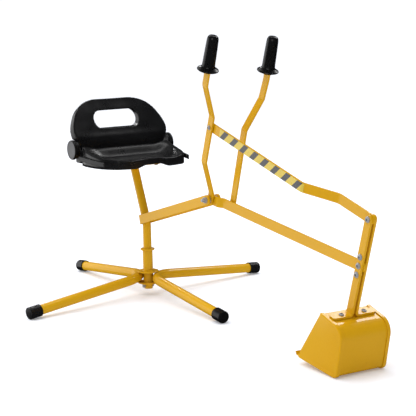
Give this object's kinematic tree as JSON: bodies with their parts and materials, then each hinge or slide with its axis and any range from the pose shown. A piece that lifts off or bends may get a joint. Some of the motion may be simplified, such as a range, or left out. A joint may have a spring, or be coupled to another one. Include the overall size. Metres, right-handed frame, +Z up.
{
  "type": "ride-on sand digger",
  "caption": "Ride-on toy excavator: swivelling seat on a splayed tube stand, with lever-worked steel boom, stick and scoop.",
  "frame": {"origin": "bottom centre of the object's box at rest: on the floor, 280 mm ahead of the swivel axis", "axes": "+X forward from the seat to the scoop, +Y to the rider's left, +Z up"},
  "size_m": [1.3226, 0.7566, 0.6977],
  "materials": {
    "yellow_paint": "powder coat, satin gloss",
    "seat_plastic": "moulded, fine grain with a soft sheen",
    "hinge_plastic": "moulded, smooth",
    "cap_rubber": "moulded soft plastic",
    "grip_rubber": "moulded, fine ribs",
    "zinc_fixings": "bright zinc plate",
    "warning_strip": "printed label with plain slanted bars"
  },
  "bodies": {
    "base": {"hub_sleeve": "yellow_paint", "hub_disc_bottom": "yellow_paint", "hub_disc_top": "yellow_paint", "leg_tube_right": "yellow_paint", "leg_tube_left": "yellow_paint", "foot_cap_front": "cap_rubber", "foot_cap_left": "cap_rubber", "foot_cap_rear": "cap_rubber", "foot_cap_right": "cap_rubber"},
    "swivel": {"post_tube": "yellow_paint", "post_collar": "yellow_paint", "keeper_bolt": "zinc_fixings", "keeper_nut": "zinc_fixings", "arm_bracket": "yellow_paint", "pivot_bolt": "zinc_fixings", "pivot_nut": "zinc_fixings", "pivot_spacer_near": "zinc_fixings", "pivot_spacer_far": "zinc_fixings", "seat_plate": "yellow_paint", "seat_screw_right": "seat_plastic", "seat_screw_left": "seat_plastic", "seat_block": "seat_plastic", "seat_pan": "seat_plastic", "seat_crossbar": "seat_plastic", "seat_rail_right": "hinge_plastic", "seat_rail_left": "hinge_plastic", "seat_disc_right": "hinge_plastic", "seat_disc_left": "hinge_plastic"},
    "seat_back": {"seat_back": "seat_plastic"},
    "boom": {"boom_bar": "yellow_paint", "right_lever": "yellow_paint", "right_grip": "grip_rubber"},
    "left_lever": {"left_lever": "yellow_paint", "left_grip": "grip_rubber", "rod_bolt": "zinc_fixings", "rod_nut": "zinc_fixings"},
    "control_rod": {"control_rod": "yellow_paint", "warning_strip": "warning_strip"},
    "stick": {"stick_bar_near": "yellow_paint", "stick_bar_far": "yellow_paint", "stick_bolt_rod": "zinc_fixings", "stick_bolt_upper": "zinc_fixings", "stick_spacer_upper": "zinc_fixings", "stick_bolt_boom": "zinc_fixings", "stick_bolt_lower": "zinc_fixings", "stick_spacer_lower": "zinc_fixings", "bucket_shell": "yellow_paint", "bucket_side_right": "yellow_paint", "bucket_side_left": "yellow_paint", "foot_bolt_right": "zinc_fixings", "foot_nut_right": "zinc_fixings", "foot_bolt_left": "zinc_fixings", "foot_nut_left": "zinc_fixings"}
  },
  "joints": [
    {"name": "base_swivel", "type": "hinge", "parent": "base", "child": "swivel", "pos_m": [-0.28014, -0.00115, 0.08972], "axis": [0, 0, 1], "continuous": true},
    {"name": "seat_back_fold", "type": "hinge", "parent": "swivel", "child": "seat_back", "pos_m": [-0.41314, -0.00115, 0.38572], "axis": [0, 1, 0], "range_deg": [0, 50]},
    {"name": "boom_lift", "type": "hinge", "parent": "swivel", "child": "boom", "pos_m": [0.05386, -0.00115, 0.29852], "axis": [0, 1, 0], "range_deg": [-40, 0]},
    {"name": "stick_curl", "type": "hinge", "parent": "boom", "child": "stick", "pos_m": [0.61986, 0.00835, 0.23292], "axis": [0, 1, 0], "range_deg": [-35, 15]},
    {"name": "lever_pull", "type": "hinge", "parent": "boom", "child": "left_lever", "pos_m": [0.05386, -0.00115, 0.29852], "axis": [0, 1, 0], "range_deg": [-19.5, 8.6]},
    {"name": "rod_pivot", "type": "hinge", "parent": "left_lever", "child": "control_rod", "pos_m": [0.11786, -0.03915, 0.48022], "axis": [0, 1, 0], "range_deg": [-8.9, 20.2]}
  ],
  "couplings": [
    {"joint": "lever_pull", "follows": "stick_curl", "ratio": 0.5423},
    {"joint": "rod_pivot", "follows": "stick_curl", "ratio": -0.5625}
  ]
}
